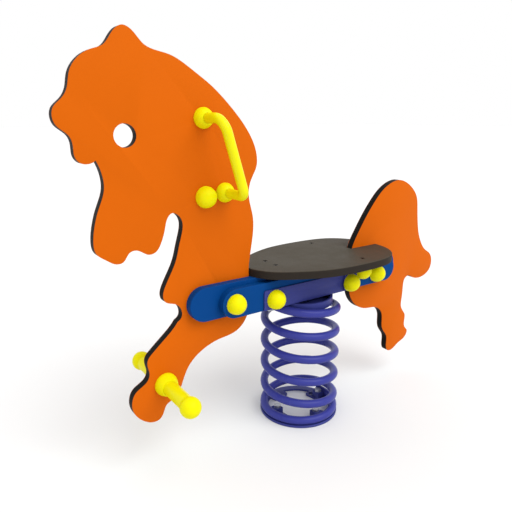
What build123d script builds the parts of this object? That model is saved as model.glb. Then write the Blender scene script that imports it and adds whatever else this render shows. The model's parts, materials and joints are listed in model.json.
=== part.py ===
from build123d import *
import math
import os

os.makedirs("parts", exist_ok=True)

# Horse-shaped spring rocker. Millimetres, +X the way the horse faces, +Y its left, +Z up.
# The origin is on the spring's axis at ground level. Left pieces are on +Y.

# Ground fixing ring: four ears inside the coil take the anchors, and three of them a clamp too
RING_OUTER_R = 100.0
RING_INNER_R = 80.0
RING_T = 5.0
EAR_ANGLES = [10.0, 100.0, 190.0, 280.0]
EAR_INNER_R = 56.0
EAR_WIDTH = 48.0
FIXING_PCD = 138.0
ANCHOR_HOLE_R = 6.5
ANCHOR_ANGLES = [angle + 10 for angle in EAR_ANGLES]
BASE_CLAMP_ANGLES = [angle - 10 for angle in EAR_ANGLES[:3]]

# Spring: a closed, flat end turn lies on the ring, another hangs under the channel
WIRE_R = 10.0
COIL_R = 90.0
BODY_GAP = 0.3
PITCH = 59.2
BOTTOM_WIRE_Z = RING_T + BODY_GAP + WIRE_R
TOP_WIRE_Z = 306.7
ACTIVE_TURNS = (TOP_WIRE_Z - BOTTOM_WIRE_Z) / PITCH
ACTIVE_START = 0.02
EASE_TURNS = 0.05
DEAD_TOP_TURNS = 0.54
DEAD_BOTTOM_TURNS = 0.60
POINTS_PER_TURN = 20

# Sheet and board stack, from the middle plane outwards
SHEET_T = 19.0
HALF_SHEET = SHEET_T / 2
INNER_FACE = HALF_SHEET + SHEET_T
OUTER_FACE = INNER_FACE + SHEET_T
BOARD_BOTTOM = 317.0
INNER_BOARD_TOP = 393.0
OUTER_BOARD_TOP = 383.0
INNER_BOARD_ENDS = (-306.0, 322.0)
OUTER_BOARD_ENDS = (-286.0, 254.0)

# Steel channel that carries the boards on the spring
STEEL_T = 4.0
CHANNEL_ENDS = (-139.0, 148.0)
CHANNEL_TOP = 365.0
CHANNEL_FACE = OUTER_FACE + STEEL_T
FIT = 0.2
CUP_R = 79.0
CUP_WALL = 5.0
CUP_FLOOR = 8.0
CUP_BOTTOM = TOP_WIRE_Z - WIRE_R
TOP_CLAMP_R = 62.0
TOP_CLAMP_T = 7.0
TOP_CLAMP_ANGLES = [-10.0, 190.0]

# Seat
SEAT_BOTTOM = INNER_BOARD_TOP
SEAT_T = 18.0
SEAT_FRONT_X = 160.0
SEAT_SLOT = SHEET_T + 1.5
SEAT_SLOT_X = -157.5
FRONT_SCREW = (95.0, 21.0)
REAR_SCREW = (-113.0, 94.0)
BRACKET_X = (-137.0, -95.0)
BRACKET_REACH = 110.0

# Fasteners: M10 with plastic domed covers
BOLT_R = 5.0
HOLE_R = 5.4
WASHER_R = 10.5
WASHER_T = 2.0
NUT_AF = 16.0
NUT_H = 8.0
COVER_R = 22.7
COVER_BASE_T = 5.0
COVER_H = 26.0
COVER_WALL = 3.0
BOLT_STICK_OUT = 2.0

# Bolt axes (x, z)
FRONT_BOARD_BOLT = (222.0, 350.0)
REAR_BOARD_BOLTS = [(-163.0, 361.0), (-216.0, 344.0)]
CHANNEL_FRONT_BOLT = (118.0, 341.0)
CHANNEL_REAR_BOLT = (-115.0, 339.0)
GRIP_TOP = (270.0, 739.0)
GRIP_LOW_RIGHT = (269.0, 582.0)
GRIP_LOW_LEFT = (223.0, 588.0)
PEG_AXIS = (377.0, 190.0)

# Hand grips
GRIP_TUBE_R = 10.0
GRIP_BORE_R = 7.0
GRIP_REACH = 88.0
GRIP_TOP_BEND = 30.0
GRIP_LOW_BEND = 16.0
GRIP_COVER_R = 20.7
GRIP_COVER_H = 22.5
GRIP_PLUG_LENGTH = 24.0
GRIP_STUD_IN = 18.0

# Foot pegs
PEG_R = 16.3
PEG_BALL_R = 21.8
PEG_BALL_Y = 122.0
PEG_ROD_R = 6.0
PEG_COLLAR_R = 25.3
PEG_COLLAR_H = 23.0

# Horse outline
EYE = (431.7, 708.0)
EYE_R = 21.6
TONGUE_BOTTOM = 321.3
TONGUE_TOP = 391.0
FRONT_TONGUE_X = 4.0
REAR_TONGUE_X = -4.0

NECK_AND_FACE = [
    (162, 391), (159, 440), (152, 480), (151, 530), (161, 573), (156, 608), (141, 638), (141, 665),
    (156, 702), (183, 738), (218, 774), (251, 802), (289, 827), (339, 853), (387, 867), (410, 890),
    (424, 895), (440, 886), (461, 860), (482, 852), (509, 834), (522, 812), (527, 789), (538, 771),
    (553, 756), (556, 742), (551, 727), (531, 709), (526, 692), (525, 675), (518, 664), (504, 660),
    (489, 666),
]
CHEST_AND_NOTCH = [
    (489, 666), (480, 643), (478, 612), (491, 577), (501, 545), (505, 520), (501, 495), (483, 480),
    (465, 470), (451, 472), (438, 488), (423, 491), (399, 479), (384, 482), (372, 498), (362, 526),
    (355, 548), (346, 556), (331, 550), (323, 534), (325, 514), (332, 490), (341, 458), (357, 426),
    (369, 403), (373, 389), (369, 374), (346, 364), (333, 348), (332, 337), (343, 324),
]
FRONT_LEG = [
    (343, 324), (375, 292), (403, 268), (414, 255), (415, 240), (412, 224), (417, 209), (445, 189),
    (453, 172), (453, 153), (446, 136), (430, 119), (409, 109), (395, 111), (385, 124), (377, 140),
    (362, 148), (342, 171), (333, 193), (322, 214), (304, 233), (275, 250), (245, 259), (215, 263),
    (192, 271), (176, 285), (168, 298), (167, 321.3),
]
TAIL_AND_RUMP = [
    (-160, 391), (-164, 414), (-185, 453), (-209, 489), (-241, 529), (-268, 555), (-297, 571),
    (-333, 577), (-364, 567), (-392, 547), (-410, 522), (-416, 492), (-422, 452), (-430, 419),
    (-445, 388), (-466, 364), (-490, 348), (-501, 325), (-494, 298), (-466, 282), (-435, 281),
    (-408, 292),
]
HIND_LEG = [
    (-408, 292), (-397, 295), (-384, 288), (-379, 270), (-378, 235), (-377, 205), (-388, 187),
    (-397, 174), (-397, 145), (-402, 132), (-413, 119), (-405, 101), (-376, 88), (-345, 73), (-331, 76),
    (-324, 88), (-322, 122), (-304, 148), (-298, 165), (-296, 195), (-285, 214), (-266, 225),
    (-225, 231), (-187, 249), (-167, 273), (-159, 298), (-158, 321.3),
]
SEAT_SIDE = [
    (SEAT_FRONT_X, 13), (152, 36), (137, 59), (106, 83), (62, 106), (14, 123), (-42, 131), (-98, 132), (-150, 128),
    (-192, 115), (-220, 93), (-240, 62), (-249, 28),
]


def side_plane(side, x, z, y):
    """A plane standing off the horse's side: its local +Z points away from the middle."""
    return Plane(origin=(x, side * y, z), x_dir=(1, 0, 0), z_dir=(0, side, 0))


def through(bolts, radius=HOLE_R):
    """Sketch circles for bolts that cross a sheet; used inside a BuildSketch on the XZ plane."""
    with Locations(*bolts):
        Circle(radius, mode=Mode.SUBTRACT)


def polar(radius, angle):
    turn = math.radians(angle)
    return radius * math.cos(turn), radius * math.sin(turn)


def radial_plane(angle, z):
    """A plane at the spring's axis whose local X points out at the angle."""
    x, y = polar(1, angle)
    return Plane(origin=(0, 0, z), x_dir=(x, y, 0), z_dir=(0, 0, 1))


def build_ring(radius, bore, height):
    with BuildPart() as piece:
        with BuildSketch():
            Circle(radius)
            Circle(bore, mode=Mode.SUBTRACT)
        extrude(amount=height)
    return piece.part


def build_nut():
    with BuildPart() as piece:
        with BuildSketch():
            RegularPolygon(NUT_AF / 2, 6, major_radius=False)
            Circle(BOLT_R, mode=Mode.SUBTRACT)
        extrude(amount=NUT_H)
        chamfer(piece.faces().sort_by(Axis.Z)[-1].outer_wire().edges(), 0.8)
    return piece.part


def build_cover_base(bore, radius=COVER_R):
    """The ring under a cover, which the dome snaps onto."""
    with BuildPart() as piece:
        with BuildSketch():
            Circle(radius)
            Circle(bore, mode=Mode.SUBTRACT)
        extrude(amount=COVER_BASE_T)
        fillet(piece.faces().sort_by(Axis.Z)[-1].outer_wire().edges(), 0.5)
    return piece.part


def build_cover_dome(bore=0.0, radius=COVER_R, height=COVER_H):
    """A hollow dome from its rim to the crown; a bore opens the crown for a tube."""
    rise = height - COVER_BASE_T
    rim_r = radius - 0.4
    dome_r = (rim_r**2 + rise**2) / (2 * rise)
    with BuildPart() as piece:
        with Locations((0, 0, height - dome_r)):
            Sphere(dome_r)
            Sphere(dome_r - COVER_WALL, mode=Mode.SUBTRACT)
        split(bisect_by=Plane.XY.offset(COVER_BASE_T), keep=Keep.TOP)
        if bore:
            Cylinder(bore, 3 * COVER_H, mode=Mode.SUBTRACT)
    return piece.part


def build_through_bolts(axes, half_length):
    with BuildPart() as piece:
        with Locations(*[side_plane(1, x, z, 0) for x, z in axes]):
            Cylinder(BOLT_R, 2 * half_length)
        chamfer(piece.edges().filter_by(GeomType.CIRCLE), 0.8)
    return piece.part


def wire_height(turn):
    """Height of the wire's centre; turn counts down the coil from the front of the top end turn."""

    def ramp(past):
        if past < -EASE_TURNS:
            return 0.0
        if past > EASE_TURNS:
            return past
        return (past + EASE_TURNS) ** 2 / (4 * EASE_TURNS)

    fallen = ramp(turn - ACTIVE_START) - ramp(turn - ACTIVE_START - ACTIVE_TURNS)
    return TOP_WIRE_Z - PITCH * fallen


def wire_point(turn):
    x, y = polar(COIL_R, 360 * turn)
    return x, y, wire_height(turn)


# Ground fixing

with BuildPart() as base_ring:
    with BuildSketch():
        Circle(RING_OUTER_R)
        Circle(RING_INNER_R, mode=Mode.SUBTRACT)
    extrude(amount=RING_T)
    for angle in EAR_ANGLES:
        with BuildSketch(radial_plane(angle, 0)):
            with Locations(((EAR_INNER_R + COIL_R) / 2, 0)):
                RectangleRounded(COIL_R - EAR_INNER_R, EAR_WIDTH, 8)
        extrude(amount=RING_T)
    chamfer(base_ring.faces().sort_by(Axis.Z)[-1].outer_wire().edges(), 1.2)
    with Locations(*[polar(FIXING_PCD / 2, angle) for angle in ANCHOR_ANGLES]):
        Cylinder(ANCHOR_HOLE_R, 4 * RING_T, mode=Mode.SUBTRACT)
    with Locations(*[polar(FIXING_PCD / 2, angle) for angle in BASE_CLAMP_ANGLES]):
        Cylinder(BOLT_R, 4 * RING_T, mode=Mode.SUBTRACT)
base_ring.part.label = "base_ring"
export_step(base_ring.part, "parts/base_ring.step")

CLAMP_WIDTH = 21.0
CLAMP_INNER_R = 59.0
CLAMP_TOE_R = 84.0
CLAMP_HEEL_R = COIL_R - WIRE_R - 0.8
CLAMP_TOP = BOTTOM_WIRE_Z + 7.0
HEAD_H = 6.4

with BuildPart() as base_clamps:
    for angle in BASE_CLAMP_ANGLES:
        with BuildSketch(radial_plane(angle, RING_T)):
            with Locations(((CLAMP_HEEL_R + CLAMP_INNER_R) / 2, 0)):
                Rectangle(CLAMP_HEEL_R - CLAMP_INNER_R, CLAMP_WIDTH)
        extrude(amount=CLAMP_TOP - RING_T)
        with BuildSketch(radial_plane(angle, BOTTOM_WIRE_Z)):
            with Locations(((CLAMP_TOE_R + CLAMP_HEEL_R - 2) / 2, 0)):
                Rectangle(CLAMP_TOE_R - CLAMP_HEEL_R + 2, CLAMP_WIDTH)
        extrude(amount=CLAMP_TOP - BOTTOM_WIRE_Z)
        with BuildSketch(radial_plane(angle, RING_T)):
            with Locations((FIXING_PCD / 2, 0)):
                Circle(HOLE_R)
        extrude(amount=CLAMP_TOP, mode=Mode.SUBTRACT)
    with Locations((0, 0, BOTTOM_WIRE_Z)):
        Torus(COIL_R, WIRE_R + 0.6, mode=Mode.SUBTRACT)
base_clamps.part.label = "base_clamps"
export_step(base_clamps.part, "parts/base_clamps.step")

with BuildPart() as base_clamp_bolts:
    with Locations(*[(*polar(FIXING_PCD / 2, angle), 1) for angle in BASE_CLAMP_ANGLES]):
        Cylinder(BOLT_R, CLAMP_TOP - 1, align=(Align.CENTER, Align.CENTER, Align.MIN))
    for angle in BASE_CLAMP_ANGLES:
        with BuildSketch(Plane.XY.offset(CLAMP_TOP)):
            with Locations(polar(FIXING_PCD / 2, angle)):
                RegularPolygon(NUT_AF / 2, 6, major_radius=False)
    extrude(amount=HEAD_H)
base_clamp_bolts.part.label = "base_clamp_bolts"
export_step(base_clamp_bolts.part, "parts/base_clamp_bolts.step")

# Spring

FIRST_TURN = ACTIVE_START - DEAD_TOP_TURNS
LAST_TURN = ACTIVE_START + ACTIVE_TURNS + DEAD_BOTTOM_TURNS
WIRE_POINTS = round((LAST_TURN - FIRST_TURN) * POINTS_PER_TURN)
WIRE_TURNS = [FIRST_TURN + (LAST_TURN - FIRST_TURN) * i / WIRE_POINTS for i in range(WIRE_POINTS + 1)]

with BuildPart() as spring:
    with BuildLine() as wire_path:
        Spline(*[wire_point(turn) for turn in WIRE_TURNS])
    with BuildSketch(Plane(origin=wire_path.line @ 0, z_dir=wire_path.line % 0)):
        Circle(WIRE_R)
    sweep(path=wire_path.line, is_frenet=False)
spring.part.label = "spring"
export_step(spring.part, "parts/spring.step")

# Channel, spring cup and its clamps

with BuildPart() as mounting_channel:
    with BuildSketch(Plane.YZ.offset(CHANNEL_ENDS[0])):
        with BuildLine():
            FilletPolyline(
                (-CHANNEL_FACE, CHANNEL_TOP),
                (-CHANNEL_FACE, BOARD_BOTTOM),
                (CHANNEL_FACE, BOARD_BOTTOM),
                (CHANNEL_FACE, CHANNEL_TOP),
                radius=2.5,
            )
            Line((CHANNEL_FACE, CHANNEL_TOP), (OUTER_FACE + FIT, CHANNEL_TOP))
            Polyline(
                (OUTER_FACE + FIT, CHANNEL_TOP),
                (OUTER_FACE + FIT, BOARD_BOTTOM + STEEL_T),
                (-OUTER_FACE - FIT, BOARD_BOTTOM + STEEL_T),
                (-OUTER_FACE - FIT, CHANNEL_TOP),
                (-CHANNEL_FACE, CHANNEL_TOP),
            )
        make_face()
    extrude(amount=CHANNEL_ENDS[1] - CHANNEL_ENDS[0])
    fillet(mounting_channel.edges().filter_by(Axis.Y).group_by(Axis.Z)[-1], 6)
    with Locations(*[side_plane(1, x, z, 0) for x, z in (CHANNEL_FRONT_BOLT, CHANNEL_REAR_BOLT)]):
        Cylinder(HOLE_R, 4 * CHANNEL_FACE, mode=Mode.SUBTRACT)
mounting_channel.part.label = "mounting_channel"
export_step(mounting_channel.part, "parts/mounting_channel.step")

with BuildPart() as spring_cup:
    with BuildSketch(Plane.XY.offset(CUP_BOTTOM)):
        Circle(CUP_R)
    extrude(amount=BOARD_BOTTOM - CUP_BOTTOM)
    with BuildSketch(Plane.XY.offset(CUP_BOTTOM + CUP_FLOOR)):
        Circle(CUP_R - CUP_WALL)
    extrude(amount=BOARD_BOTTOM - CUP_BOTTOM, mode=Mode.SUBTRACT)
    with Locations(*[(*polar(TOP_CLAMP_R, angle), CUP_BOTTOM) for angle in TOP_CLAMP_ANGLES]):
        Cylinder(HOLE_R, 4 * CUP_FLOOR, mode=Mode.SUBTRACT)
    fillet(spring_cup.faces().sort_by(Axis.Z)[0].outer_wire().edges(), 3)
spring_cup.part.label = "spring_cup"
export_step(spring_cup.part, "parts/spring_cup.step")

TOP_CLAMP_INNER_R = 44.0
TOP_CLAMP_OUTER_R = 98.0

with BuildPart() as top_clamps:
    for angle in TOP_CLAMP_ANGLES:
        with BuildSketch(radial_plane(angle, CUP_BOTTOM - TOP_CLAMP_T)):
            with Locations(((TOP_CLAMP_INNER_R + TOP_CLAMP_OUTER_R) / 2, 0)):
                RectangleRounded(TOP_CLAMP_OUTER_R - TOP_CLAMP_INNER_R, 30, 6)
            with Locations((TOP_CLAMP_R, 0)):
                Circle(HOLE_R, mode=Mode.SUBTRACT)
        extrude(amount=TOP_CLAMP_T)
    with Locations((0, 0, TOP_WIRE_Z)):
        Torus(COIL_R, WIRE_R + 0.6, mode=Mode.SUBTRACT)
top_clamps.part.label = "top_clamps"
export_step(top_clamps.part, "parts/top_clamps.step")

TOP_CLAMP_BOTTOM = CUP_BOTTOM - TOP_CLAMP_T
CUP_INSIDE = CUP_BOTTOM + CUP_FLOOR

with BuildPart() as top_clamp_bolts:
    for angle in TOP_CLAMP_ANGLES:
        with BuildSketch(Plane.XY.offset(TOP_CLAMP_BOTTOM)):
            with Locations(polar(TOP_CLAMP_R, angle)):
                Circle(BOLT_R)
    extrude(amount=CUP_INSIDE + NUT_H + 1 - TOP_CLAMP_BOTTOM)
    for angle in TOP_CLAMP_ANGLES:
        with BuildSketch(Plane.XY.offset(TOP_CLAMP_BOTTOM)):
            with Locations(polar(TOP_CLAMP_R, angle)):
                RegularPolygon(NUT_AF / 2, 6, major_radius=False)
    extrude(amount=-HEAD_H)
top_clamp_bolts.part.label = "top_clamp_bolts"
export_step(top_clamp_bolts.part, "parts/top_clamp_bolts.step")

nut = build_nut()

with BuildPart() as top_clamp_nuts:
    with Locations(*[(*polar(TOP_CLAMP_R, angle), CUP_INSIDE) for angle in TOP_CLAMP_ANGLES]):
        add(nut)
top_clamp_nuts.part.label = "top_clamp_nuts"
export_step(top_clamp_nuts.part, "parts/top_clamp_nuts.step")

# Boards

SCREW_R = 3.0
SCREW_DEPTH = 47.0
CHANNEL_BOLTS = [CHANNEL_FRONT_BOLT, CHANNEL_REAR_BOLT]
BOARD_BOLTS = [FRONT_BOARD_BOLT, *REAR_BOARD_BOLTS]
NOTCH_ENDS = (CHANNEL_ENDS[0] - 0.5, CHANNEL_ENDS[1] + 0.5)
NOTCH_TOP = BOARD_BOTTOM + STEEL_T + FIT


def build_board(outside, ends, top, screw_places):
    """One long board with round ends, notched over the channel's web, with pilot holes from above."""
    height = top - BOARD_BOTTOM
    length = ends[1] - ends[0]
    middle = ((ends[0] + ends[1]) / 2, (top + BOARD_BOTTOM) / 2)
    with BuildPart() as piece:
        with BuildSketch(Plane.XZ.offset(-outside)):
            with Locations(middle):
                SlotOverall(length, height)
            with Locations(((NOTCH_ENDS[0] + NOTCH_ENDS[1]) / 2, NOTCH_TOP - 10)):
                Rectangle(NOTCH_ENDS[1] - NOTCH_ENDS[0], 20, mode=Mode.SUBTRACT)
            through(BOARD_BOLTS + CHANNEL_BOLTS)
        extrude(amount=SHEET_T)
        rims = piece.faces().sort_by(Axis.Y)[0].outer_wire().edges()
        rims += piece.faces().sort_by(Axis.Y)[-1].outer_wire().edges()
        fillet(rims, 1.5)
        for x, y in screw_places:
            with Locations((x, y, top)):
                Cylinder(SCREW_R + 0.05, 2 * SCREW_DEPTH, mode=Mode.SUBTRACT)
    return piece.part


for side, side_name in ((1, "left"), (-1, "right")):
    screw_place = (FRONT_SCREW[0], side * FRONT_SCREW[1])
    for layer, near_face, ends, top, screws in (
        ("inner", HALF_SHEET, INNER_BOARD_ENDS, INNER_BOARD_TOP, [screw_place]),
        ("outer", INNER_FACE, OUTER_BOARD_ENDS, OUTER_BOARD_TOP, []),
    ):
        board_name = f"{layer}_board_{side_name}"
        board = build_board(near_face + SHEET_T if side > 0 else -near_face, ends, top, screws)
        board.label = board_name
        export_step(board, f"parts/{board_name}.step")

# Horse panels, each with a tongue that runs back between the boards

with BuildPart() as front_panel:
    with BuildSketch(Plane.XZ):
        with BuildLine():
            Spline(*NECK_AND_FACE)
            Spline(*CHEST_AND_NOTCH)
            Spline(*FRONT_LEG)
            Polyline(
                (167, TONGUE_BOTTOM),
                (FRONT_TONGUE_X, TONGUE_BOTTOM),
                (FRONT_TONGUE_X, TONGUE_TOP),
                (162, TONGUE_TOP),
            )
        make_face()
        with Locations(EYE):
            Circle(EYE_R, mode=Mode.SUBTRACT)
        through([FRONT_BOARD_BOLT, CHANNEL_FRONT_BOLT, GRIP_TOP, GRIP_LOW_RIGHT, GRIP_LOW_LEFT])
        through([PEG_AXIS], PEG_ROD_R + 0.4)
    extrude(amount=HALF_SHEET, both=True)
front_panel.part.label = "front_panel"
export_step(front_panel.part, "parts/front_panel.step")

with BuildPart() as rear_panel:
    with BuildSketch(Plane.XZ):
        with BuildLine():
            Spline(*TAIL_AND_RUMP)
            Spline(*HIND_LEG)
            Polyline(
                (-158, TONGUE_BOTTOM),
                (REAR_TONGUE_X, TONGUE_BOTTOM),
                (REAR_TONGUE_X, TONGUE_TOP),
                (-160, TONGUE_TOP),
            )
        make_face()
        through([*REAR_BOARD_BOLTS, CHANNEL_REAR_BOLT])
    extrude(amount=HALF_SHEET, both=True)
rear_panel.part.label = "rear_panel"
export_step(rear_panel.part, "parts/rear_panel.step")

# Seat, its brackets and screws

SEAT_TOP = SEAT_BOTTOM + SEAT_T
SEAT_SCREW_R = 3.0
SEAT_SCREW_HEAD_R = 5.0
SEAT_SCREW_RECESS = 5.0

FRONT_SCREWS = [(FRONT_SCREW[0], FRONT_SCREW[1]), (FRONT_SCREW[0], -FRONT_SCREW[1])]
REAR_SCREWS = [(REAR_SCREW[0], REAR_SCREW[1]), (REAR_SCREW[0], -REAR_SCREW[1])]

with BuildPart() as seat:
    with BuildSketch(Plane.XY.offset(SEAT_BOTTOM)):
        with BuildLine():
            Spline(*SEAT_SIDE)
            Spline(*[(x, -y) for x, y in SEAT_SIDE])
            Line(SEAT_SIDE[0], (SEAT_SIDE[0][0], -SEAT_SIDE[0][1]))
            ThreePointArc(SEAT_SIDE[-1], (SEAT_SIDE[-1][0] - 3, 0), (SEAT_SIDE[-1][0], -SEAT_SIDE[-1][1]))
        make_face()
    extrude(amount=SEAT_T)
    fillet(seat.faces().sort_by(Axis.Z)[-1].outer_wire().edges(), 2.5)
    with BuildSketch(Plane.XY.offset(SEAT_BOTTOM)):
        with Locations((SEAT_SLOT_X - 75, 0)):
            Rectangle(150, SEAT_SLOT)
    extrude(amount=SEAT_T, mode=Mode.SUBTRACT)
    with Locations(*[(x, y, SEAT_TOP) for x, y in FRONT_SCREWS + REAR_SCREWS]):
        CounterBoreHole(SEAT_SCREW_R + 0.3, SEAT_SCREW_HEAD_R + 0.5, SEAT_SCREW_RECESS)
seat.part.label = "seat"
export_step(seat.part, "parts/seat.step")


def build_cap_screws(places, length, sleeve_r):
    """Socket-head screws whose heads sit in the seat's recesses."""
    head_h = SEAT_SCREW_RECESS - 0.7
    with BuildPart() as piece:
        for x, y in places:
            with BuildSketch(Plane.XY.offset(SEAT_TOP - SEAT_SCREW_RECESS)):
                with Locations((x, y)):
                    Circle(SEAT_SCREW_HEAD_R)
            extrude(amount=head_h)
            with BuildSketch(Plane.XY.offset(SEAT_TOP - SEAT_SCREW_RECESS)):
                with Locations((x, y)):
                    Circle(sleeve_r)
            extrude(amount=-length)
            with BuildSketch(Plane.XY.offset(SEAT_TOP - SEAT_SCREW_RECESS + 1.2)):
                with Locations((x, y)):
                    RegularPolygon(2.5, 6, major_radius=False)
            extrude(amount=head_h, mode=Mode.SUBTRACT)
    return piece.part


front_screws = build_cap_screws(FRONT_SCREWS, SCREW_DEPTH + SEAT_T - SEAT_SCREW_RECESS - 1, SCREW_R)
front_screws.label = "seat_screws_front"
export_step(front_screws, "parts/seat_screws_front.step")

rear_screws = build_cap_screws(REAR_SCREWS, 27.0, SEAT_SCREW_R)
rear_screws.label = "seat_screws_rear"
export_step(rear_screws, "parts/seat_screws_rear.step")

BRACKET_FACE = CHANNEL_FACE + STEEL_T
BRACKET_LOW = 321.0

for side, side_name in ((1, "left"), (-1, "right")):
    with BuildPart() as bracket:
        with BuildSketch(Plane.YZ.offset(BRACKET_X[0])):
            with BuildLine():
                FilletPolyline(
                    (side * CHANNEL_FACE, BRACKET_LOW),
                    (side * CHANNEL_FACE, SEAT_BOTTOM),
                    (side * BRACKET_REACH, SEAT_BOTTOM),
                    radius=5.5,
                )
                Line((side * BRACKET_REACH, SEAT_BOTTOM), (side * BRACKET_REACH, SEAT_BOTTOM - STEEL_T))
                FilletPolyline(
                    (side * BRACKET_REACH, SEAT_BOTTOM - STEEL_T),
                    (side * BRACKET_FACE, SEAT_BOTTOM - STEEL_T),
                    (side * BRACKET_FACE, BRACKET_LOW),
                    radius=1.5,
                )
                Line((side * BRACKET_FACE, BRACKET_LOW), (side * CHANNEL_FACE, BRACKET_LOW))
            make_face()
        extrude(amount=BRACKET_X[1] - BRACKET_X[0])
        with Locations(side_plane(side, *CHANNEL_REAR_BOLT, CHANNEL_FACE)):
            Cylinder(HOLE_R, 4 * STEEL_T, mode=Mode.SUBTRACT)
        with Locations((REAR_SCREW[0], side * REAR_SCREW[1], SEAT_BOTTOM)):
            Cylinder(SEAT_SCREW_R + 0.3, 4 * STEEL_T, mode=Mode.SUBTRACT)
    bracket.part.label = f"seat_bracket_{side_name}"
    export_step(bracket.part, f"parts/seat_bracket_{side_name}.step")

with BuildPart() as seat_bracket_nuts:
    for x, y in REAR_SCREWS:
        with BuildSketch(Plane.XY.offset(SEAT_BOTTOM - STEEL_T)):
            with Locations((x, y)):
                RegularPolygon(5.0, 6, major_radius=False)
                Circle(SEAT_SCREW_R, mode=Mode.SUBTRACT)
    extrude(amount=-5)
seat_bracket_nuts.part.label = "seat_bracket_nuts"
export_step(seat_bracket_nuts.part, "parts/seat_bracket_nuts.step")

# Through bolts, each with a washer, nut and cover at both ends

COVER_STACK = COVER_BASE_T + WASHER_T + NUT_H + BOLT_STICK_OUT

board_bolts = build_through_bolts(BOARD_BOLTS, OUTER_FACE + COVER_STACK)
board_bolts.label = "board_bolts"
export_step(board_bolts, "parts/board_bolts.step")

channel_bolts = build_through_bolts([CHANNEL_FRONT_BOLT], CHANNEL_FACE + COVER_STACK)
channel_bolts += build_through_bolts([CHANNEL_REAR_BOLT], BRACKET_FACE + COVER_STACK)
channel_bolts.label = "channel_bolts"
export_step(channel_bolts, "parts/channel_bolts.step")

FRAME_ENDS = [(bolt, OUTER_FACE) for bolt in BOARD_BOLTS]
FRAME_ENDS += [(CHANNEL_FRONT_BOLT, CHANNEL_FACE), (CHANNEL_REAR_BOLT, BRACKET_FACE)]
LEFT_ENDS = [side_plane(1, *bolt, face) for bolt, face in FRAME_ENDS]
RIGHT_ENDS = [side_plane(-1, *bolt, face) for bolt, face in FRAME_ENDS]
LEFT_ENDS.append(side_plane(1, *GRIP_LOW_RIGHT, HALF_SHEET))
RIGHT_ENDS.append(side_plane(-1, *GRIP_LOW_LEFT, HALF_SHEET))

cover_base = build_cover_base(HOLE_R)
cover_dome = build_cover_dome()
washer = build_ring(WASHER_R, HOLE_R, WASHER_T)


def export_group(piece, planes, rise, name):
    """Copies of one small piece, each standing on its plane, as one node of separate solids."""
    with BuildPart() as group:
        with Locations(*[plane.offset(rise) for plane in planes]):
            add(piece)
    group.part.label = name
    export_step(group.part, f"parts/{name}.step")


export_group(washer, LEFT_ENDS + RIGHT_ENDS, COVER_BASE_T, "cover_washers")
export_group(nut, LEFT_ENDS + RIGHT_ENDS, COVER_BASE_T + WASHER_T, "cover_nuts")
for side_name, planes in (("left", LEFT_ENDS), ("right", RIGHT_ENDS)):
    export_group(cover_base, planes, 0, f"cover_bases_{side_name}")
    export_group(cover_dome, planes, 0, f"cover_domes_{side_name}")

# Hand grips: each tube stands off the panel, and its plugs take studs through the panel

GRIP_FLANGE_R = 17.0
GRIP_FLANGE_T = 4.0


def grip_points(low, side):
    """The corners of the grip's centre line, from the top foot to the lower one."""
    return [
        (GRIP_TOP[0], side * HALF_SHEET, GRIP_TOP[1]),
        (GRIP_TOP[0], side * GRIP_REACH, GRIP_TOP[1]),
        (low[0], side * GRIP_REACH, low[1]),
        (low[0], side * HALF_SHEET, low[1]),
    ]


def build_grip(low, side):
    corners = grip_points(low, side)
    top_foot, top_corner, low_corner, low_foot = [Vector(*corner) for corner in corners]
    out = Vector(0, side, 0)
    down = (low_corner - top_corner).normalized()
    with BuildPart() as piece:
        with BuildLine() as centre:
            Line(top_foot, top_corner - out * GRIP_TOP_BEND)
            TangentArc(top_corner - out * GRIP_TOP_BEND, top_corner + down * GRIP_TOP_BEND, tangent=out)
            Line(top_corner + down * GRIP_TOP_BEND, low_corner - down * GRIP_LOW_BEND)
            TangentArc(low_corner - down * GRIP_LOW_BEND, low_corner - out * GRIP_LOW_BEND, tangent=down)
            Line(low_corner - out * GRIP_LOW_BEND, low_foot)
        with BuildSketch(side_plane(side, *GRIP_TOP, HALF_SHEET)):
            Circle(GRIP_TUBE_R)
            Circle(GRIP_BORE_R, mode=Mode.SUBTRACT)
        sweep(path=centre.line)
        with Locations(side_plane(side, *GRIP_TOP, HALF_SHEET), side_plane(side, *low, HALF_SHEET)):
            add(grip_flange)
    return piece.part


grip_flange = build_ring(GRIP_FLANGE_R, GRIP_TUBE_R - 1, GRIP_FLANGE_T)
grip_plug = build_ring(GRIP_BORE_R, BOLT_R, GRIP_PLUG_LENGTH)
grip_dome = build_cover_dome(GRIP_TUBE_R + 0.3, GRIP_COVER_R, GRIP_COVER_H)
grip_base = build_cover_base(GRIP_FLANGE_R + 0.2, GRIP_COVER_R)

GRIP_FEET = {
    "left": [side_plane(1, *GRIP_TOP, HALF_SHEET), side_plane(1, *GRIP_LOW_LEFT, HALF_SHEET)],
    "right": [side_plane(-1, *GRIP_TOP, HALF_SHEET), side_plane(-1, *GRIP_LOW_RIGHT, HALF_SHEET)],
}

for side, side_name, low in ((1, "left", GRIP_LOW_LEFT), (-1, "right", GRIP_LOW_RIGHT)):
    grip = build_grip(low, side)
    grip.label = f"hand_grip_{side_name}"
    export_step(grip, f"parts/hand_grip_{side_name}.step")
    export_group(grip_dome, GRIP_FEET[side_name], 0, f"grip_domes_{side_name}")
    export_group(grip_base, GRIP_FEET[side_name], 0, f"grip_bases_{side_name}")

export_group(grip_plug, GRIP_FEET["left"] + GRIP_FEET["right"], 0, "grip_plugs")

STUD_FREE_END = HALF_SHEET + COVER_STACK

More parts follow.
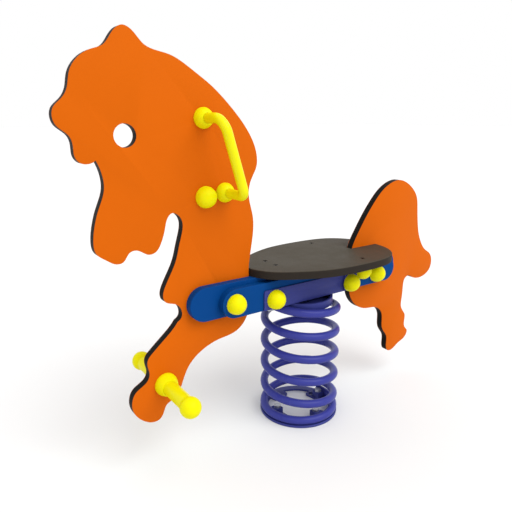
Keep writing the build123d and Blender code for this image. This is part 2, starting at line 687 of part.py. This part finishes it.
with BuildPart() as grip_studs:
    with Locations(side_plane(1, *GRIP_TOP, 0)):
        Cylinder(BOLT_R, 2 * (HALF_SHEET + GRIP_STUD_IN))
    for side, low in ((1, GRIP_LOW_LEFT), (-1, GRIP_LOW_RIGHT)):
        with Locations(side_plane(side, *low, -STUD_FREE_END)):
            Cylinder(
                BOLT_R,
                STUD_FREE_END + HALF_SHEET + GRIP_STUD_IN,
                align=(Align.CENTER, Align.CENTER, Align.MIN),
            )
grip_studs.part.label = "grip_studs"
export_step(grip_studs.part, "parts/grip_studs.step")

# Foot pegs on one rod through the front leg

PEG_PLANES = {
    "left": side_plane(1, *PEG_AXIS, HALF_SHEET),
    "right": side_plane(-1, *PEG_AXIS, HALF_SHEET),
}
PEG_TUBE_END = PEG_BALL_Y - HALF_SHEET - math.sqrt(PEG_BALL_R**2 - PEG_R**2) + 1.5
PEG_ROD_END = PEG_BALL_Y + 10

with BuildPart() as peg_collar:
    with BuildSketch(Plane.XZ):
        with BuildLine():
            Line((PEG_R + 0.2, 0), (PEG_COLLAR_R, 0))
            Line((PEG_COLLAR_R, 0), (PEG_COLLAR_R, 5))
            Spline((PEG_COLLAR_R, 5), (22.0, 15), (PEG_R + 2.0, PEG_COLLAR_H))
            Line((PEG_R + 2.0, PEG_COLLAR_H), (PEG_R + 0.2, PEG_COLLAR_H))
            Line((PEG_R + 0.2, PEG_COLLAR_H), (PEG_R + 0.2, 0))
        make_face()
    revolve(axis=Axis.Z)

with BuildPart() as peg_ball:
    with Locations((0, 0, PEG_BALL_Y - HALF_SHEET)):
        Sphere(PEG_BALL_R)
    Cylinder(
        PEG_R + 0.1,
        PEG_TUBE_END + 0.1,
        align=(Align.CENTER, Align.CENTER, Align.MIN),
        mode=Mode.SUBTRACT,
    )
    Cylinder(
        PEG_ROD_R,
        PEG_ROD_END - HALF_SHEET,
        align=(Align.CENTER, Align.CENTER, Align.MIN),
        mode=Mode.SUBTRACT,
    )

peg_tube = build_ring(PEG_R, PEG_ROD_R + 0.4, PEG_TUBE_END)

for side_name, plane in PEG_PLANES.items():
    export_group(peg_tube, [plane], 0, f"foot_peg_{side_name}")

export_group(peg_collar.part, PEG_PLANES.values(), 0, "peg_collars")
export_group(peg_ball.part, PEG_PLANES.values(), 0, "peg_end_balls")

with BuildPart() as peg_rod:
    with Locations(side_plane(1, *PEG_AXIS, 0)):
        Cylinder(PEG_ROD_R, 2 * PEG_ROD_END)
peg_rod.part.label = "peg_rod"
export_step(peg_rod.part, "parts/peg_rod.step")
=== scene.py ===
import json
import math

import bmesh
import bpy
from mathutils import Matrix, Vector


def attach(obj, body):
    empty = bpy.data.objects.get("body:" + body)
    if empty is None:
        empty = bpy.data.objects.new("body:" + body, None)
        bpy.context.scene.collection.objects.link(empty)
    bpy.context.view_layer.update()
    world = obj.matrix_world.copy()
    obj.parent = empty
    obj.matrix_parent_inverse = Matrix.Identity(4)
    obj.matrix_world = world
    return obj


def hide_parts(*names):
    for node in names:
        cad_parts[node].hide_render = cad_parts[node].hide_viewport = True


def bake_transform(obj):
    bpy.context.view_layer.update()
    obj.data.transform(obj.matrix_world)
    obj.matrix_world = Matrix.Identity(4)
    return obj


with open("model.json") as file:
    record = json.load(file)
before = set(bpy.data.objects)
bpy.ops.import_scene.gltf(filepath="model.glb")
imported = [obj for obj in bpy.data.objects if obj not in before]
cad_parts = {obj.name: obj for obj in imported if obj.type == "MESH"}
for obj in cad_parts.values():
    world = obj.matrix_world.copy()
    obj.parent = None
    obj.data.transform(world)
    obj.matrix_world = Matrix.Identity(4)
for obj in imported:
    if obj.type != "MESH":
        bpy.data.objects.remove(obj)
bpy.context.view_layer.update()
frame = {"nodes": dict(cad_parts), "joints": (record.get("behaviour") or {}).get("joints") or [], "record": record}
NODES = frame["nodes"]

# Metres, +X the way the horse faces, +Y its left, +Z up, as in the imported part.

# ---- Materials ----


class Shade:
    """A Principled material with short calls for the node chains that most of the finishes share."""

    def __init__(self, name, **constants):
        self.material = bpy.data.materials.new(name)
        self.material.use_nodes = True
        self.tree = self.material.node_tree
        self.bsdf = self.tree.nodes["Principled BSDF"]
        for socket, value in constants.items():
            self.bsdf.inputs[socket.replace("_", " ")].default_value = value
        coordinates = self.tree.nodes.new("ShaderNodeTexCoord")
        self.place = coordinates.outputs["Object"]
        self.facing = coordinates.outputs["Normal"]

    def link(self, output, node, socket):
        self.tree.links.new(output, node.inputs[socket])

    def stretched(self, x, y, z):
        node = self.tree.nodes.new("ShaderNodeMapping")
        node.inputs["Scale"].default_value = (x, y, z)
        self.link(self.place, node, "Vector")
        return node.outputs["Vector"]

    def noise(self, scale, detail=2.0, roughness=0.5, vector=None):
        node = self.tree.nodes.new("ShaderNodeTexNoise")
        node.inputs["Scale"].default_value = scale
        node.inputs["Detail"].default_value = detail
        node.inputs["Roughness"].default_value = roughness
        self.link(vector or self.place, node, "Vector")
        return node.outputs["Fac"]

    def cells(self, scale, vector=None):
        node = self.tree.nodes.new("ShaderNodeTexVoronoi")
        node.feature = "SMOOTH_F1"
        node.inputs["Scale"].default_value = scale
        self.link(vector or self.place, node, "Vector")
        return node.outputs["Distance"]

    def step(self, value, low, high, to_low=0.0, to_high=1.0):
        node = self.tree.nodes.new("ShaderNodeMapRange")
        node.interpolation_type = "SMOOTHSTEP"
        node.inputs["From Min"].default_value = low
        node.inputs["From Max"].default_value = high
        node.inputs["To Min"].default_value = to_low
        node.inputs["To Max"].default_value = to_high
        self.link(value, node, "Value")
        return node.outputs["Result"]

    def math(self, operation, a, b=None):
        node = self.tree.nodes.new("ShaderNodeMath")
        node.operation = operation
        for socket, value in enumerate((a, b)):
            if isinstance(value, bpy.types.NodeSocket):
                self.link(value, node, socket)
            elif value is not None:
                node.inputs[socket].default_value = value
        return node.outputs[0]

    def axis(self, vector, name):
        node = self.tree.nodes.new("ShaderNodeSeparateXYZ")
        self.link(vector, node, 0)
        return node.outputs[name]

    def mix(self, share, a, b):
        """Colours or colour outputs a and b, mixed by share."""
        node = self.tree.nodes.new("ShaderNodeMix")
        node.data_type = "RGBA"
        self.link(share, node, 0)
        for socket, value in ((6, a), (7, b)):
            if isinstance(value, bpy.types.NodeSocket):
                self.link(value, node, socket)
            else:
                node.inputs[socket].default_value = (*value, 1)
        return node.outputs[2]

    def bump(self, heights):
        """Chains bumps, each (height, distance in metres, strength)."""
        last = None
        for height, distance, strength in heights:
            node = self.tree.nodes.new("ShaderNodeBump")
            node.inputs["Distance"].default_value = distance
            node.inputs["Strength"].default_value = strength
            self.link(height, node, "Height")
            if last:
                self.link(last, node, "Normal")
            last = node.outputs["Normal"]
        self.link(last, self.bsdf, "Normal")

    def finish(self, colour, roughness, heights):
        self.link(colour, self.bsdf, "Base Color")
        self.link(roughness, self.bsdf, "Roughness")
        self.bump(heights)
        return self.material


def scaled(colour, by):
    return tuple(min(1.0, c * by) for c in colour)


def sheet_material(name, colour, core=None, skin_from=0.0):
    """Grained polyethylene sheet. Where a core is given, it shows between the two skins of a routed edge."""
    shade = Shade(name, Specular_IOR_Level=0.04)
    clouds = shade.noise(7, 4, 0.6)
    grain = shade.noise(950, 3, 0.6)
    pebble = shade.cells(520)
    scuffs = shade.step(shade.noise(60, 6, 0.75, shade.stretched(1, 6, 0.35)), 0.66, 0.74)
    skin = shade.mix(clouds, scaled(colour, 0.965), scaled(colour, 1.03))
    skin = shade.mix(shade.math("MULTIPLY", grain, 0.16), skin, scaled(colour, 0.72))
    skin = shade.mix(shade.math("MULTIPLY", scuffs, 0.10), skin, scaled(colour, 1.22))
    depth = shade.math("ABSOLUTE", shade.axis(shade.place, "Y"))
    across = shade.math("ABSOLUTE", shade.axis(shade.facing, "Y"))
    edge = shade.step(across, 0.55, 0.8, 1.0, 0.0)
    tooling = shade.noise(90, 2, 0.5, shade.stretched(1.2, 22, 1.2))
    patchy = shade.step(clouds, 0.3, 0.7, 0.44, 0.52)
    roughness = shade.math("ADD", patchy, shade.math("MULTIPLY", scuffs, 0.10))
    if core:
        inside = shade.step(depth, skin_from - 0.00025, skin_from + 0.00025, 1.0, 0.0)
        core_tone = shade.mix(tooling, scaled(core, 0.7), scaled(core, 1.5))
        skin = shade.mix(inside, skin, core_tone)
    else:
        # painted shade: on a sheet without a core, faces that face neither broad side are darkened
        skin = shade.mix(shade.math("MULTIPLY", edge, 0.35), skin, scaled(colour, 0.8))
    marks = shade.math("MULTIPLY", tooling, edge)
    heights = [(pebble, 0.00018, 0.35), (grain, 0.00012, 0.5), (marks, 0.0003, 0.6), (scuffs, 0.00006, 0.4)]
    return shade.finish(skin, roughness, heights)


def coat_material(name, colour, roughness, coat=0.0, peel=0.5):
    """Powder coat or dip coat on steel: faint orange peel, dust-dulled patches, slightly darker pinholes."""
    shade = Shade(name, Specular_IOR_Level=0.12, Coat_Weight=coat, Coat_Roughness=0.14)
    patches = shade.noise(16, 4, 0.6)
    peeling = shade.noise(330, 2, 0.45)
    specks = shade.step(shade.noise(1500, 2, 0.7), 0.66, 0.72)
    rubbed = shade.step(shade.noise(75, 5, 0.7), 0.60, 0.70)
    tone = shade.mix(patches, scaled(colour, 0.93), scaled(colour, 1.06))
    tone = shade.mix(shade.math("MULTIPLY", specks, 0.25), tone, scaled(colour, 0.55))
    tone = shade.mix(shade.math("MULTIPLY", rubbed, 0.12), tone, scaled(colour, 1.3))
    dulled = shade.math("ADD", shade.step(patches, 0.3, 0.7, roughness, roughness + 0.09),
                        shade.math("MULTIPLY", rubbed, 0.12))
    return shade.finish(tone, dulled, [(peeling, 0.0002, peel), (specks, 0.00005, 0.5)])


def moulded_material(name, colour):
    """Injection-moulded plastic: flow clouds, a fine satin grain and a few shallow nicks."""
    shade = Shade(name, Specular_IOR_Level=0.06, Subsurface_Weight=0.05, Subsurface_Scale=0.004)
    flow = shade.noise(45, 3, 0.55, shade.stretched(1, 1, 2.2))
    satin = shade.noise(1400, 2, 0.6)
    nicks = shade.step(shade.noise(420, 3, 0.65), 0.68, 0.74)
    tone = shade.mix(flow, scaled(colour, 0.95), scaled(colour, 1.03))
    tone = shade.mix(shade.math("MULTIPLY", nicks, 0.25), tone, scaled(colour, 0.78))
    patchy = shade.step(flow, 0.3, 0.7, 0.30, 0.38)
    roughness = shade.math("ADD", patchy, shade.math("MULTIPLY", satin, 0.06))
    return shade.finish(tone, roughness, [(satin, 0.00005, 0.35), (nicks, 0.0001, 0.4)])


def seat_material(name, top, shaded_edge_colour):
    """Non-slip seat sheet: a fine pebbled top, paler where it is sat on, and saw lines on the edge faces, which
    carry a much darker colour as painted shade.
    """
    shade = Shade(name, Specular_IOR_Level=0.08)
    pebble = shade.cells(430)
    grain = shade.noise(1100, 3, 0.65)
    clouds = shade.noise(11, 4, 0.6)
    up = shade.step(shade.axis(shade.facing, "Z"), 0.5, 0.8)
    worn = shade.step(shade.math("ABSOLUTE", shade.axis(shade.place, "Y")), 0.02, 0.14, 1.0, 0.0)
    tone = shade.mix(clouds, scaled(top, 0.93), scaled(top, 1.05))
    tone = shade.mix(shade.math("MULTIPLY", worn, 0.10), tone, scaled(top, 1.35))
    tone = shade.mix(shade.math("MULTIPLY", grain, 0.28), tone, scaled(top, 0.68))
    lines = shade.noise(70, 3, 0.6, shade.stretched(1, 1, 25))
    shaded_rim = shade.mix(lines, scaled(shaded_edge_colour, 0.75), scaled(shaded_edge_colour, 1.3))
    # painted shade: faces that do not face up take the much darker edge colour, with the saw lines on it
    tone = shade.mix(up, shaded_rim, tone)
    roughness = shade.step(clouds, 0.3, 0.7, 0.50, 0.62)
    grip = shade.math("MULTIPLY", pebble, up)
    return shade.finish(tone, roughness, [(grip, 0.0005, 0.5), (grain, 0.00015, 0.5), (lines, 0.0002, 0.4)])


def steel_material(name, dark, bright):
    """Plated or blackened steel: small spangle, turning marks and a light dull bloom."""
    shade = Shade(name, Metallic=1.0)
    spangle = shade.cells(260)
    turning = shade.noise(240, 4, 0.6, shade.stretched(1, 4, 1))
    bloom = shade.step(shade.noise(55, 4, 0.65), 0.5, 0.75)
    tone = shade.mix(spangle, dark, bright)
    tone = shade.mix(shade.math("MULTIPLY", bloom, 0.5), tone, scaled(dark, 0.8))
    patchy = shade.step(turning, 0.3, 0.7, 0.28, 0.40)
    roughness = shade.math("ADD", patchy, shade.math("MULTIPLY", bloom, 0.18))
    return shade.finish(tone, roughness, [(turning, 0.00008, 0.5), (spangle, 0.00005, 0.3)])


ORANGE = (0.615, 0.114, 0.002)
BLACK_CORE = (0.007, 0.0065, 0.006)
BOARD_BLUE = (0.0015, 0.049, 0.21)
SEAT_TOP = (0.060, 0.050, 0.036)
# painted shade: darker colour for the seat sheet's side faces
SEAT_SHADED_EDGE = (0.023, 0.018, 0.014)
SPRING_VIOLET = (0.035, 0.041, 0.26)
FRAME_VIOLET = (0.034, 0.042, 0.21)
YELLOW = (0.77, 0.73, 0.0015)

HALF_SHEET = 0.0095
SKIN_T = 0.0008

finishes = {
    "horse_sheet": sheet_material("orange_sheet_black_core", ORANGE, BLACK_CORE, HALF_SHEET - SKIN_T),
    "board_sheet": sheet_material("blue_board", BOARD_BLUE),
    "seat_sheet": seat_material("nonslip_seat_sheet", SEAT_TOP, SEAT_SHADED_EDGE),
    "spring_coating": coat_material("spring_powder_coat", SPRING_VIOLET, 0.26, coat=0.12, peel=0.4),
    "frame_coating": coat_material("frame_powder_coat", FRAME_VIOLET, 0.36, coat=0.06, peel=0.5),
    "yellow_coating": coat_material("yellow_tube_coating", YELLOW, 0.30, coat=0.06, peel=0.3),
    "yellow_plastic": moulded_material("yellow_moulding", YELLOW),
    "zinc_steel": steel_material("zinc_plated_steel", (0.50, 0.51, 0.53), (0.66, 0.67, 0.68)),
    "blackened_steel": steel_material("blackened_screws", (0.012, 0.012, 0.013), (0.024, 0.024, 0.026)),
}

for subpart in frame["record"]["subparts"]:
    mesh = NODES[subpart["node"]].data
    mesh.materials.clear()
    mesh.materials.append(finishes[subpart["material_slot"]])

# ---- Sheet and steel pieces with their worked edges ----


def stands_for(mesh, node, name):
    """A new object that takes a CAD node's place, body and finish."""
    body = next(b for b, members in frame["record"]["behaviour"]["bodies"].items() if node in members)
    slot = next(s["material_slot"] for s in frame["record"]["subparts"] if s["node"] == node)
    piece = bpy.data.objects.new(name, mesh)
    bpy.context.scene.collection.objects.link(piece)
    mesh.materials.clear()
    mesh.materials.append(finishes[slot])
    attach(piece, body)
    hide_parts(node)
    return piece


def round_edges(node, radius, segments=3, sharper_than=35.0):
    """The node's own solid with its square edges rounded over, as a router or a coating leaves them."""
    solid = bmesh.new()
    solid.from_mesh(NODES[node].data)
    bmesh.ops.remove_doubles(solid, verts=solid.verts, dist=2e-6)
    bmesh.ops.dissolve_limit(
        solid, angle_limit=math.radians(0.6), verts=solid.verts, edges=solid.edges, delimit=set()
    )
    limit = math.radians(sharper_than)
    edges = [e for e in solid.edges if e.is_manifold and e.calc_face_angle(0) > limit]
    bmesh.ops.bevel(
        solid, geom=edges, offset=radius, offset_type="OFFSET", segments=segments, profile=0.5,
        affect="EDGES", clamp_overlap=True, miter_outer="ARC", harden_normals=False,
    )
    mesh = bpy.data.meshes.new(f"{node}_edges")
    solid.to_mesh(mesh)
    solid.free()
    mesh.polygons.foreach_set("use_smooth", [True] * len(mesh.polygons))
    mesh.set_sharp_from_angle(angle=math.radians(30))
    return stands_for(mesh, node, f"{node}_shaped")


ROUTED_EDGE_R = 0.0012
COATED_EDGE_R = 0.0007

for node in ("front_panel", "rear_panel"):
    round_edges(node, ROUTED_EDGE_R)
for node in ("mounting_channel", "seat_bracket_left", "seat_bracket_right", "base_clamps", "top_clamps"):
    round_edges(node, COATED_EDGE_R, segments=2)

# ---- Spring ----

WIRE_R = 0.010
COIL_R = 0.090
PITCH = 0.0592
TOP_WIRE_Z = 0.3067
BOTTOM_WIRE_Z = 0.0153
ACTIVE_TURNS = (TOP_WIRE_Z - BOTTOM_WIRE_Z) / PITCH
ACTIVE_START = 0.02
EASE = 0.05
DEAD_TOP_TURNS = 0.54
DEAD_BOTTOM_TURNS = 0.60
FIRST_TURN = ACTIVE_START - DEAD_TOP_TURNS
LAST_TURN = ACTIVE_START + ACTIVE_TURNS + DEAD_BOTTOM_TURNS
RINGS_PER_TURN = 72
WIRE_SIDES = 28
CUT_ROUNDING = 0.0008
CUT_FACE_SHARE = 0.93


def wire_height(turn):
    """The wire's height as it winds down; the end turns are flat, and ease into the open coil."""

    def ramp(past):
        if past < -EASE:
            return 0.0
        if past > EASE:
            return past
        return (past + EASE) ** 2 / (4 * EASE)

    return TOP_WIRE_Z - PITCH * (ramp(turn - ACTIVE_START) - ramp(turn - ACTIVE_START - ACTIVE_TURNS))


def wire_point(turn):
    angle = 2 * math.pi * turn
    return Vector((COIL_R * math.cos(angle), COIL_R * math.sin(angle), wire_height(turn)))


def wire_mesh(name, start, end, cut_start, cut_end):
    """A length of wire from one turn to another, with a slightly rounded saw cut where it ends."""
    count = round((end - start) * RINGS_PER_TURN)
    turns = [start + (end - start) * i / count for i in range(count + 1)]
    stations = [(turn, 0.0, 1.0) for turn in turns]
    if cut_start:
        stations[0] = (start, CUT_ROUNDING, 1.0)
        stations.insert(0, (start, 0.0, CUT_FACE_SHARE))
    if cut_end:
        stations[-1] = (end, -CUT_ROUNDING, 1.0)
        stations.append((end, 0.0, CUT_FACE_SHARE))
    tube = bmesh.new()
    rings = []
    for turn, shift, share in stations:
        along = (wire_point(turn + 0.001) - wire_point(turn - 0.001)).normalized()
        out = Vector((math.cos(2 * math.pi * turn), math.sin(2 * math.pi * turn), 0))
        up = along.cross(out).normalized()
        centre = wire_point(turn) + along * shift
        ring = []
        for side in range(WIRE_SIDES):
            angle = 2 * math.pi * side / WIRE_SIDES
            spoke = out * math.cos(angle) + up * math.sin(angle)
            ring.append(tube.verts.new(centre + spoke * WIRE_R * share))
        rings.append(ring)
    for near, far in zip(rings, rings[1:]):
        for side in range(WIRE_SIDES):
            after = (side + 1) % WIRE_SIDES
            tube.faces.new((near[side], far[side], far[after], near[after]))
    if cut_start:
        tube.faces.new(rings[0])
    if cut_end:
        tube.faces.new(rings[-1][::-1])
    bmesh.ops.recalc_face_normals(tube, faces=tube.faces)
    mesh = bpy.data.meshes.new(name)
    tube.to_mesh(mesh)
    tube.free()
    mesh.polygons.foreach_set("use_smooth", [True] * len(mesh.polygons))
    mesh.set_sharp_from_angle(angle=math.radians(50))
    mesh.materials.append(finishes["spring_coating"])
    return mesh


BEND_Z = frame["joints"][0]["pos_m"][2]
MIDDLE_TURN = ACTIVE_START + (TOP_WIRE_Z - BEND_Z) / PITCH
CLEAR = WIRE_R + 0.003

for name, turns, cuts, bodies, bend in (
    ("spring_upper_coils", (FIRST_TURN, MIDDLE_TURN), (True, False), ("spring", "rider"),
     (BEND_Z + CLEAR, TOP_WIRE_Z - 2 * WIRE_R)),
    ("spring_lower_coils", (MIDDLE_TURN, LAST_TURN), (False, True), ("foot", "spring"),
     (BOTTOM_WIRE_Z + 2 * WIRE_R, BEND_Z - CLEAR)),
):
    coils = bpy.data.objects.new(name, wire_mesh(name, *turns, *cuts))
    bpy.context.scene.collection.objects.link(coils)
    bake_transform(coils)
    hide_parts("spring")

# ---- Floor, light and camera ----

floor_mesh = bpy.data.meshes.new("floor")
floor_mesh.from_pydata([(-40, -40, 0), (40, -40, 0), (40, 40, 0), (-40, 40, 0)], [], [(0, 1, 2, 3)])
floor = bpy.data.objects.new("floor", floor_mesh)
floor.location.z = -0.0005
bpy.context.scene.collection.objects.link(floor)
pale = Shade("pale_floor", Specular_IOR_Level=0.1)
mottle = pale.noise(3, 3, 0.5)
floor_mesh.materials.append(
    pale.finish(pale.mix(mottle, (0.775, 0.775, 0.772), (0.79, 0.79, 0.788)),
                pale.step(mottle, 0.3, 0.7, 0.5, 0.6), [(pale.noise(400), 0.00005, 0.1)])
)

world = bpy.data.worlds.new("studio")
bpy.context.scene.world = world
world.use_nodes = True
background = world.node_tree.nodes["Background"]
background.inputs["Color"].default_value = (1, 1, 1, 1)
background.inputs["Strength"].default_value = 1.0

TOWARDS_SUN = (-0.26, 0.67, 0.85)

sun = bpy.data.lights.new("key", "SUN")
sun.energy = 1.7
sun.angle = math.radians(50)
key = bpy.data.objects.new("key", sun)
key.rotation_mode = "QUATERNION"
key.rotation_quaternion = Vector(TOWARDS_SUN).to_track_quat("Z", "Y")
bpy.context.scene.collection.objects.link(key)

YAW = math.radians(34.77)
PITCH_DOWN = math.radians(15.13)
camera_data = bpy.data.cameras.new("camera")
camera_data.sensor_width = 36
camera_data.lens = 35.88
camera_data.clip_start = 0.05
camera_data.clip_end = 200
camera = bpy.data.objects.new("camera", camera_data)
back = Vector((
    math.sin(YAW) * math.cos(PITCH_DOWN), math.cos(YAW) * math.cos(PITCH_DOWN), math.sin(PITCH_DOWN)
))
camera.rotation_mode = "QUATERNION"
camera.rotation_quaternion = (-back).to_track_quat("-Z", "Y")
camera.location = (0.7787, 0.9259, 0.7388)
bpy.context.scene.collection.objects.link(camera)
bpy.context.scene.camera = camera
bpy.context.scene.view_settings.view_transform = "Standard"
